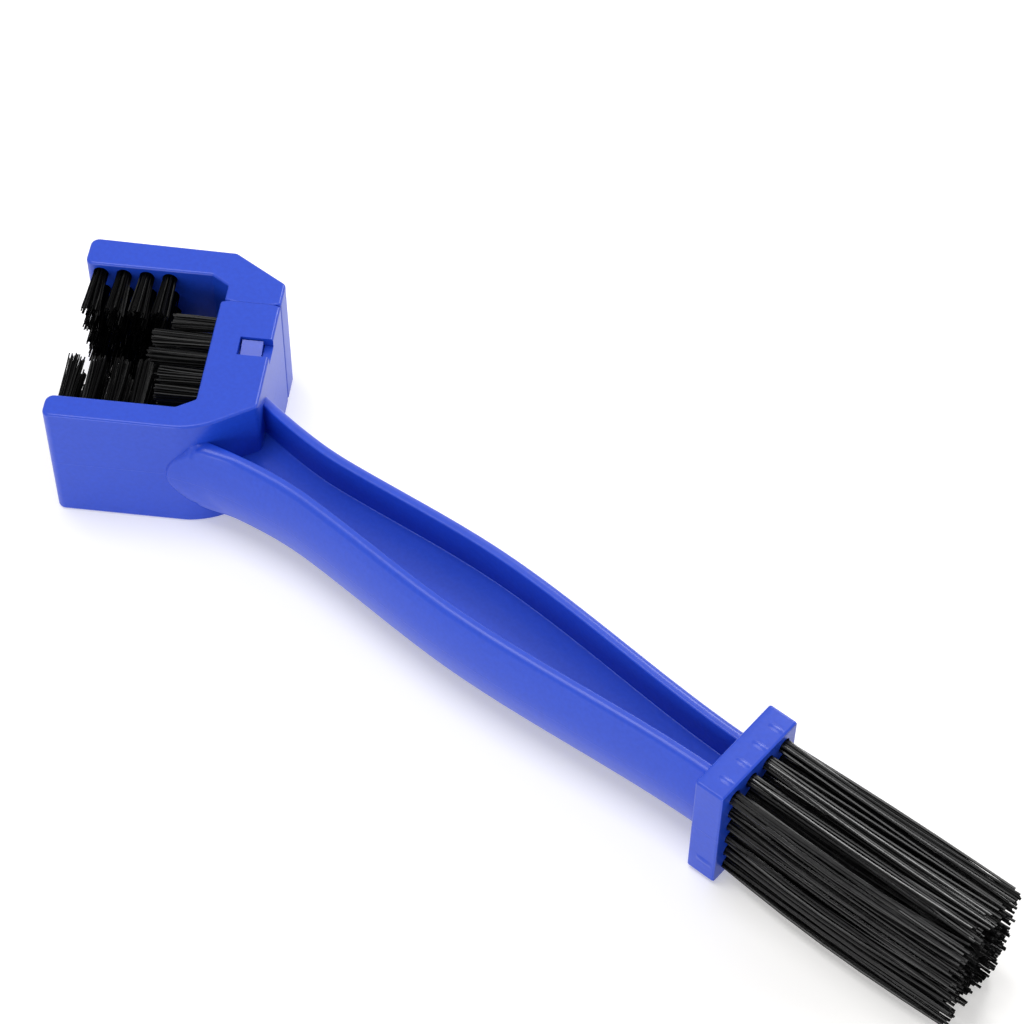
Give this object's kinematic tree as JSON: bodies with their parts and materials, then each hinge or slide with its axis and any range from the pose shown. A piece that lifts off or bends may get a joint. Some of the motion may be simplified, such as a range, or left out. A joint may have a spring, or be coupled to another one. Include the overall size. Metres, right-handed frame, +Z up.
{
  "type": "bike chain cleaner",
  "caption": "Hand brush with a C-shaped head of facing bristle rows that clasp a bicycle chain, a channelled grip and a long tufted brush at the other end.",
  "frame": {"origin": "on the head's resting face, between the back face and the mouth, on the handle's middle line", "axes": "+X along the handle from the head to the tail brush, +Y to the jaw's side, +Z up through the head's depth"},
  "size_m": [0.262, 0.0633, 0.033],
  "materials": {
    "blue_plastic": "satin, moulded in the colour",
    "black_bristle": "stiff bristle with a soft sheen",
    "anchor_steel": "plain flat wire"
  },
  "bodies": {
    "handle": {"body": "blue_plastic", "arm_tufts_1": "black_bristle", "arm_tufts_2": "black_bristle", "arm_tufts_3": "black_bristle", "arm_tufts_4": "black_bristle", "back_tufts_1": "black_bristle", "back_tufts_2": "black_bristle", "back_tufts_3": "black_bristle", "back_tufts_4": "black_bristle", "back_tufts_5": "black_bristle", "tail_tufts_1": "black_bristle", "tail_tufts_2": "black_bristle", "tail_tufts_3": "black_bristle", "tail_tufts_4": "black_bristle", "tail_tufts_5": "black_bristle", "tail_tufts_6": "black_bristle", "arm_anchors": "anchor_steel", "back_anchors": "anchor_steel", "tail_anchors": "anchor_steel"},
    "jaw": {"jaw": "blue_plastic", "latch_top": "blue_plastic", "latch_bottom": "blue_plastic", "jaw_tufts_1": "black_bristle", "jaw_tufts_2": "black_bristle", "jaw_tufts_3": "black_bristle", "jaw_tufts_4": "black_bristle", "jaw_anchors": "anchor_steel"}
  },
  "joints": [
    {"name": "jaw_slide", "type": "slide", "parent": "handle", "child": "jaw", "axis": [-0.5505, 0.8348, 0], "range_m": [0, 0.016], "deforming": ["latch_top", "latch_bottom"]}
  ]
}
